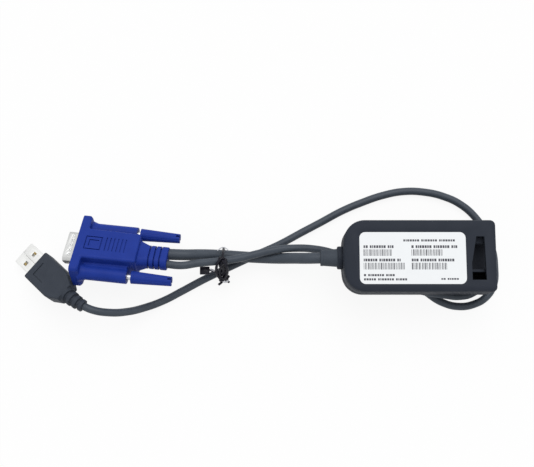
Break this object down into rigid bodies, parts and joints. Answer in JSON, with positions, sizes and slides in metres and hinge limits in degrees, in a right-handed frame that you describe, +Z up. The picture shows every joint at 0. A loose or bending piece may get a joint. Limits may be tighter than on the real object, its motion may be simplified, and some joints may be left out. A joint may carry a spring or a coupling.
{
  "type": "kvm adapter cable",
  "caption": "Adapter cable with a flat electronics module that has a network socket, and short cables to a video plug with captive thumbscrews and to a USB plug.",
  "frame": {"origin": "on the table, under the middle of the box round the module and the two plugs", "axes": "+X from the plugs to the module's network socket, +Y across the cable to the side where its long arc lies, +Z up from the table"},
  "size_m": [0.2427, 0.0662, 0.0282],
  "materials": {
    "housing": "fine moulded texture",
    "label": "smooth printed film",
    "boot": "satin",
    "screw_steel": "turned",
    "board": "solder mask",
    "socket": "moulded",
    "contact_gold": "plated",
    "chip": "moulded",
    "shell_nickel": "nickel plated",
    "capacitor": "drawn",
    "header": "moulded",
    "wire": "smooth",
    "hood": "satin",
    "inner_mould": "moulded",
    "insulator": "moulded",
    "jacket": "satin",
    "tie": "smooth"
  },
  "bodies": {
    "adapter": {"top_cover": "housing", "bottom_cover": "housing", "label": "label", "cable_boot": "boot", "case_screws": "screw_steel", "circuit_board": "board", "network_socket": "socket", "socket_contacts": "contact_gold", "pulse_transformer": "chip", "controller_chip": "chip", "memory_chip": "chip", "crystal": "shell_nickel", "capacitors": "capacitor", "board_header": "header", "header_plug": "header", "header_wires": "wire", "video_hood": "hood", "video_inner_mould": "inner_mould", "video_front_shell": "shell_nickel", "video_rear_shell": "shell_nickel", "video_insulator": "insulator", "video_pins": "contact_gold", "usb_shell": "shell_nickel", "usb_tongue": "inner_mould", "usb_contacts": "contact_gold", "usb_inner_mould": "inner_mould", "usb_grip": "boot", "video_cable": "jacket", "usb_cable": "jacket", "wire_tie": "tie"},
    "north_collar": {"north_ring": "screw_steel"},
    "north_thumbscrew": {"north_knob": "hood", "north_jackscrew": "screw_steel"},
    "south_collar": {"south_ring": "screw_steel"},
    "south_thumbscrew": {"south_knob": "hood", "south_jackscrew": "screw_steel"}
  },
  "joints": [
    {"name": "north_screw_slide", "type": "slide", "parent": "adapter", "child": "north_collar", "axis": [0.9915, -0.1095, 0.0698], "range_m": [-0.0015, 0.003]},
    {"name": "north_screw_spin", "type": "hinge", "parent": "north_collar", "child": "north_thumbscrew", "pos_m": [-0.07019, 0.01716, 0.00962], "axis": [0.9915, -0.1095, 0.0698], "continuous": true},
    {"name": "south_screw_slide", "type": "slide", "parent": "adapter", "child": "south_collar", "axis": [0.9915, -0.1095, 0.0698], "range_m": [-0.0021, 0.003]},
    {"name": "south_screw_spin", "type": "hinge", "parent": "south_collar", "child": "south_thumbscrew", "pos_m": [-0.07342, -0.00499, 0.02075], "axis": [0.9915, -0.1095, 0.0698], "continuous": true}
  ]
}
